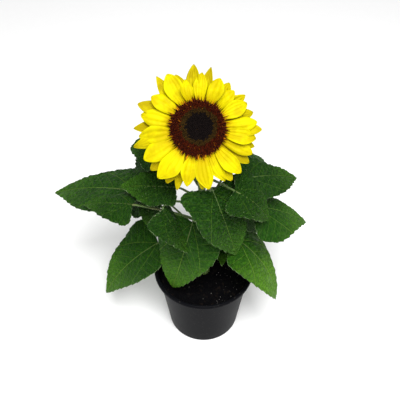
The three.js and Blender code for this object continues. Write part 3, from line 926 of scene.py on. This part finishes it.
# ---- Flower disc -------------------------------------------------------------
# The disc is a cushion of some nine hundred tiny florets set in crossing
# spirals: open, bristly and maroon round the rim, then olive-brown buds, then
# a flat black middle of buds still tightly shut.

DISC_RADIUS = 30
GOLDEN_TURN = math.radians(137.508)
HEAD_FRAME = Matrix((
    (1, 0, 0, HEAD_CENTRE[0] * MM),
    (0, math.sin(HEAD_LIFT), -math.cos(HEAD_LIFT), HEAD_CENTRE[1] * MM),
    (0, math.cos(HEAD_LIFT), math.sin(HEAD_LIFT), HEAD_CENTRE[2] * MM),
    (0, 0, 0, 1),
))


def disc_height(reach):
    """How far the cushion stands over the middle of the disc, in mm."""
    return float(np.interp(reach, [0, 8, 15, 20, 24, 27, 30], [-2, -1.6, -1, 0.2, 0.4, -1, -4.5]))


disc_profile = [(1, -9), (27.6, -9), (29.4, -6.5), (29, -5)]
disc_profile += [(reach, disc_height(reach) - 1.2) for reach in (28, 26, 24, 20, 15, 8, 1)]
cushion = turned("flower_disc", 96, disc_profile)
cushion.data.transform(HEAD_FRAME)
smooth(cushion, 60)


def disc_finish(name, deep, pale, roughness=0.8):
    felt = Finish(name, roughness, Specular_IOR_Level=0.08)
    spot = felt.place()
    grain = felt.noise(spot, 600, 3)
    felt.set("Base Color", felt.mix(felt.rise(grain, 0.35, 0.65), deep, pale))
    felt.relief(felt.noise(spot, 2200, 2), 0.0003)
    return felt.material


BLACK = disc_finish("disc_black", srgb(7, 3, 3), srgb(20, 13, 11))
OLIVE = disc_finish("disc_olive", srgb(26, 16, 2), srgb(54, 37, 6))
MAROON = disc_finish("disc_maroon", srgb(46, 8, 1), srgb(90, 31, 6))
# Painted glints: the golden bristles among the maroon ones, most of them at the rim, stand for
# glints of light.
PAINTED_GLINT_GOLD = disc_finish("disc_painted_glint", srgb(176, 88, 4), srgb(226, 150, 10))
cushion.data.materials.append(OLIVE)
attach(cushion, "root")
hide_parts("flower_disc")


def joined(parts, name):
    bpy.ops.object.select_all(action="DESELECT")
    for part in parts:
        part.select_set(True)
    bpy.context.view_layer.objects.active = parts[0]
    bpy.ops.object.join()
    whole = bpy.context.object
    whole.name = name
    return whole


def bud_model(material):
    """A shut floret bud, one unit tall: a six-sided ogive."""
    bpy.ops.object.select_all(action="DESELECT")
    bpy.ops.mesh.primitive_circle_add(vertices=6, radius=0.3, location=(0, 0, 0))
    bud = bpy.context.object
    bpy.ops.object.mode_set(mode="EDIT")
    bpy.ops.mesh.select_all(action="SELECT")
    for rise, grow in ((0.45, 1.25), (0.35, 0.72), (0.2, 0.12)):
        bpy.ops.mesh.extrude_edges_move(TRANSFORM_OT_translate={"value": (0, 0, rise)})
        bpy.ops.transform.resize(value=(grow, grow, 1))
    bpy.ops.mesh.fill_holes(sides=0)
    bpy.ops.mesh.select_all(action="SELECT")
    bpy.ops.mesh.normals_make_consistent(inside=False)
    bpy.ops.object.mode_set(mode="OBJECT")
    bud.data.materials.append(material)
    return bud


def floret_model():
    """An open floret, one unit tall: a tube with five bent-back lobes, and the
    dark column of anthers standing in it."""
    bpy.ops.object.select_all(action="DESELECT")
    bpy.ops.mesh.primitive_cone_add(
        vertices=5, radius1=0.09, radius2=0.17, depth=0.55, location=(0, 0, 0.275),
        end_fill_type="NOTHING",
    )
    tube = bpy.context.object
    bpy.ops.object.transform_apply(location=True)
    parts = [tube]
    for k in range(5):
        turn = 2 * math.pi * k / 5
        bpy.ops.mesh.primitive_cone_add(
            vertices=3, radius1=0.1, radius2=0, depth=0.34,
            location=(0.26 * math.cos(turn), 0.26 * math.sin(turn), 0.62),
            rotation=(0, math.radians(52), turn),
        )
        bpy.ops.object.transform_apply(location=True, rotation=True)
        parts.append(bpy.context.object)
    bpy.ops.mesh.primitive_cone_add(
        vertices=5, radius1=0.09, radius2=0.05, depth=0.62, location=(0, 0, 0.69)
    )
    bpy.ops.object.transform_apply(location=True)
    column = bpy.context.object
    for part in parts:
        part.data.materials.append(MAROON)
    column.data.materials.append(BLACK)
    return joined(parts + [column], "floret")


def bristle_model(material):
    """A narrow chaffy bristle, one unit tall."""
    bpy.ops.object.select_all(action="DESELECT")
    bpy.ops.mesh.primitive_cone_add(
        vertices=3, radius1=0.13, radius2=0, depth=1, location=(0, 0, 0.5)
    )
    bpy.ops.object.transform_apply(location=True)
    bristle = bpy.context.object
    bristle.data.materials.append(material)
    return bristle


def on_disc(reach, turn, tilt, size, dice, sink=1.2):
    """A place on the cushion for a floret that leans outwards by tilt."""
    spot = Vector((reach * math.cos(turn), reach * math.sin(turn), disc_height(reach) - sink)) * MM
    lean = Matrix.Rotation(turn, 4, "Z") @ Matrix.Rotation(tilt, 4, "Y")
    spin = Matrix.Rotation(dice.uniform(0, 6.28), 4, "Z")
    grow = Matrix.Diagonal((size * MM, size * MM, size * MM, 1))
    return HEAD_FRAME @ Matrix.Translation(spot) @ lean @ spin @ grow


FLORET_COUNT = 920
FLORET_EDGE = DISC_RADIUS - 2.8
SHUT_RING = 14.6
BROWN_RING = 19.6
CHAFF_COUNT = 620
RIM_CHAFF_COUNT = 150
disc_dice = random.Random(23)
shut, brown, opened, chaff, painted_glint = [], [], [], [], []
for k in range(FLORET_COUNT):
    reach = FLORET_EDGE * math.sqrt((k + 0.5) / FLORET_COUNT)
    turn = k * GOLDEN_TURN
    off_middle = math.hypot(reach * math.cos(turn) - 2, reach * math.sin(turn) - 3)
    ring = 0.6 * off_middle + 0.4 * reach + disc_dice.uniform(-1.5, 1.5)
    if ring < SHUT_RING:
        shut.append(on_disc(reach, turn, 0.1, disc_dice.uniform(2.6, 3.1), disc_dice))
    elif ring < BROWN_RING:
        brown.append(on_disc(reach, turn, 0.1, disc_dice.uniform(3, 3.7), disc_dice))
    else:
        tilt = 0.1 + 0.6 * max(0, (reach - 19) / 10) + disc_dice.uniform(-0.2, 0.2)
        opened.append(on_disc(reach, turn, tilt, disc_dice.uniform(3.6, 5.6), disc_dice))
# A share of the bristles, more of them at the rim, are golden: painted glints.
for _ in range(CHAFF_COUNT):
    reach = disc_dice.uniform(19, 27.5)
    turn = disc_dice.uniform(0, 2 * math.pi)
    tilt = 0.15 + 0.85 * max(0, (reach - 19) / 9) + disc_dice.uniform(-0.3, 0.3)
    group = painted_glint if disc_dice.random() < 0.07 + 0.14 * (reach > 25.5) else chaff
    group.append(on_disc(reach, turn, tilt, disc_dice.uniform(3.8, 6.6), disc_dice))
for _ in range(RIM_CHAFF_COUNT):
    group = painted_glint if disc_dice.random() < 0.15 else chaff
    reach, turn = disc_dice.uniform(26, 28.2), disc_dice.uniform(0, 2 * math.pi)
    tilt = disc_dice.uniform(0.8, 1.35)
    group.append(on_disc(reach, turn, tilt, disc_dice.uniform(5, 9), disc_dice))
floret_parts = [
    copies("shut_buds", bud_model(BLACK), shut),
    copies("brown_buds", bud_model(OLIVE), brown),
    copies("open_florets", floret_model(), opened),
    copies("chaff", bristle_model(MAROON), chaff),
    copies("painted_glint_chaff", bristle_model(PAINTED_GLINT_GOLD), painted_glint),
]
for part in floret_parts:
    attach(part, "root")

# ---- Ray florets -------------------------------------------------------------
# Two whorls of lemon-yellow strap florets grow out from under the rim of the
# disc. Each is a long oval, pleated along its length, with a bluntly notched
# tip, and they lie over one another unevenly.

# Clock angle in degrees from the top of the disc, reach of the tip from the
# middle of the disc and width, in millimetres.
FRONT_RAYS = (
    (4, 57, 16), (24, 56, 17), (44, 54, 15), (63, 57, 18), (84, 62, 17), (100, 61, 17),
    (115, 63, 16), (136, 65, 18), (153, 62, 15), (170, 65, 19), (191, 62, 17), (219, 67, 23),
    (240, 66, 22), (262, 62, 20), (283, 61, 19), (304, 58, 18), (330, 64, 20), (345, 52, 13),
)
BACK_RAYS = (
    (-4, 66, 15), (12, 64, 12), (35, 57, 15), (55, 60, 15), (74, 60, 15), (91, 67, 15),
    (108, 62, 15), (124, 65, 15), (147, 65, 15), (176, 64, 14), (199, 69, 11), (210, 66, 14),
    (229, 67, 15), (254, 70, 16), (270, 68, 15), (292, 68, 16), (321, 68, 14), (337, 60, 14),
)
RAY_ROOT = 26.5
RAY_THICK = 0.3


def around_disc(turn, reach, x, z):
    """Points of a strap that grows outwards from the disc at this turn."""
    return np.c_[
        reach * math.cos(turn) - x * math.sin(turn),
        reach * math.sin(turn) + x * math.cos(turn),
        z,
    ]


def ray_floret(clock, tip, width, base, lift, dice):
    turn = math.radians(90 - clock)
    cup = dice.uniform(-2.6, 3)
    twist = dice.uniform(-0.28, 0.28)
    bow = dice.uniform(-0.06, 0.06)
    rise = lift + dice.uniform(-1.5, 1.5)
    curl = dice.uniform(0, 6.5)
    pleats = dice.choice((1.5, 2, 2.5))
    notch = dice.uniform(0.01, 0.04)
    blunt = dice.uniform(1.2, 2)

    def shape(across, along):
        length = tip - RAY_ROOT
        grown = np.sin(math.pi / 2 * np.minimum(along / 0.62, 1))
        half = 0.34 + 0.66 * grown
        half = half * (1 - np.clip((along - 0.6) / 0.405, 0, 1) ** blunt) ** 0.72
        x = across * width / 2 * half
        y = length * (along - notch * np.cos(3 * math.pi * across) * along**10)
        fold = np.cos(2 * math.pi * pleats * across) * 0.5
        fold = fold * np.minimum(1, 4 * along) * (1 - along**6)
        z = rise * np.sin(0.7 * math.pi * along) - curl * along**3
        z = z + fold + cup * (across * half) ** 2 + np.sin(twist * 3 * along) * x
        x = x + bow * length * np.sin(math.pi * along)
        points = around_disc(turn, RAY_ROOT + y, x, base + z)
        return points, np.c_[across / 2 + 0.5, along]

    floret = shaped_sheet("ray", 18, 34, shape)
    floret.data.transform(HEAD_FRAME.to_3x3().to_4x4())
    floret.data.transform(Matrix.Translation(HEAD_FRAME.to_translation()))
    return floret


def ray_finish(name, deep, main):
    petal = Finish(name, 0.6, Specular_IOR_Level=0.05)
    chart = petal.chart()
    across = petal.part(chart, 0)
    along = petal.part(chart, 1)
    lines = petal.noise(petal.stretched(chart, (1, 0.05, 1)), 26, 3)
    blotch = petal.noise(petal.place(), 60, 3)
    # Painted shade: the rays darken to gold towards the root, where they go under the disc.
    root = 1 - petal.rise(along, 0.0, 0.42)
    edge = petal.rise(abs(across - 0.5), 0.3, 0.5)
    # Painted shade in blotches over the rays.
    painted_shade = petal.rise(blotch, 0.42, 0.62) * 0.6
    tone = petal.mix(lines * 0.6 + painted_shade, main, deep)
    tone = petal.mix(root * 0.55, tone, srgb(182, 140, 0))
    petal.set("Base Color", petal.mix(edge * 0.2, tone, srgb(200, 204, 0)))
    petal.relief(lines + petal.noise(petal.place(), 260, 2) * 0.1, 0.00018)
    return petal.material


# The back whorl's finish is a darker copy of the front one: painted shade on the rays lying under
# the front whorl.
LEMON = ray_finish("lemon_ray", srgb(174, 156, 0), srgb(202, 193, 0))
SHADED_YELLOW = ray_finish("shaded_yellow_ray", srgb(150, 132, 0), srgb(188, 174, 0))
ray_dice = random.Random(77)
for name, rays, base, lift, petal_skin in (
    ("ray_florets_front", FRONT_RAYS, -7.5, 4.5, LEMON),
    ("ray_florets_back", BACK_RAYS, -11.5, 3, SHADED_YELLOW),
):
    florets = []
    for number, (clock, tip, width) in enumerate(rays):
        lay = base + 1.8 * (number % 2) + ray_dice.uniform(-0.4, 0.4)
        floret = ray_floret(clock, tip, width, lay, lift, ray_dice)
        floret.data.materials.append(petal_skin)
        florets.append(floret)
    whorl = joined(florets, name)
    thicken(whorl, RAY_THICK)
    apply_modifiers(whorl)
    smooth(whorl)
    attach(whorl, "root")
    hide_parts(name)

# ---- Receptacle and bracts ---------------------------------------------------
# Behind the flower a green cup spreads from the neck, shingled with pointed
# green bracts that lap round the back of the ray florets.

cup = turned(
    "receptacle",
    72,
    [(1, CUP_BOTTOM), (6.4, CUP_BOTTOM), (9, -25.8), (14, -23.4), (20, -20.8), (26, -18),
     (30.5, -15.2), (31.5, -13.4), (28, -12.6), (1, -12.6)],
)
cup.data.transform(HEAD_FRAME)
smooth(cup, 60)
green = Finish("bract_skin", 0.6)
green_spot = green.place()
green_cloud = green.noise(green_spot, 90, 4)
green_grain = green.noise(green_spot, 900, 3)
green.set("Base Color", green.mix(green_cloud, srgb(60, 88, 34), srgb(106, 132, 62)))
green.relief(green_grain + green_cloud, 0.0004)
cup.data.materials.append(green.material)

# Each row: how many, reach of their roots and tips, width, height of the roots,
# climb to the tips, and turn of the row as a share of the step between bracts.
BRACT_ROWS = (
    (18, 28.5, 51, 12, -16.4, 2.6, 0),
    (17, 24, 44, 11.5, -18.6, 0.4, 0.5),
    (13, 17, 33, 10, -21.8, -1, 0.2),
)
BRACT_THICK = 0.5
bract_dice = random.Random(3)
bracts = []
for count, root, tip, width, base, climb, offset in BRACT_ROWS:
    for k in range(count):
        turn = 2 * math.pi * (k + offset) / count + bract_dice.uniform(-0.05, 0.05)
        reach_out = tip + bract_dice.uniform(-2.5, 1.5)
        rise = climb + bract_dice.uniform(-0.8, 0.8)

        def shape(across, along, turn=turn, reach_out=reach_out, rise=rise):
            half = np.minimum(1, 0.72 + 1.1 * along) * (1 - along**1.5) ** 0.9 + 0.02
            x = across * width / 2 * half
            reach = root + (reach_out - root) * along
            z = base + rise * along**1.4 + 1.1 * (1 - np.abs(across)) * (1 - along) - 0.8
            z = z - 0.8 * (1 - across**2)
            return around_disc(turn, reach, x, z), np.c_[across / 2 + 0.5, along]

        bract = shaped_sheet("bract", 8, 14, shape)
        bract.data.transform(HEAD_FRAME)
        bract.data.materials.append(green.material)
        bracts.append(bract)
shingles = joined(bracts, "bracts")
thicken(shingles, BRACT_THICK)
apply_modifiers(shingles)
smooth(shingles)
for piece in (cup, shingles):
    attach(piece, "root")
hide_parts("bracts")
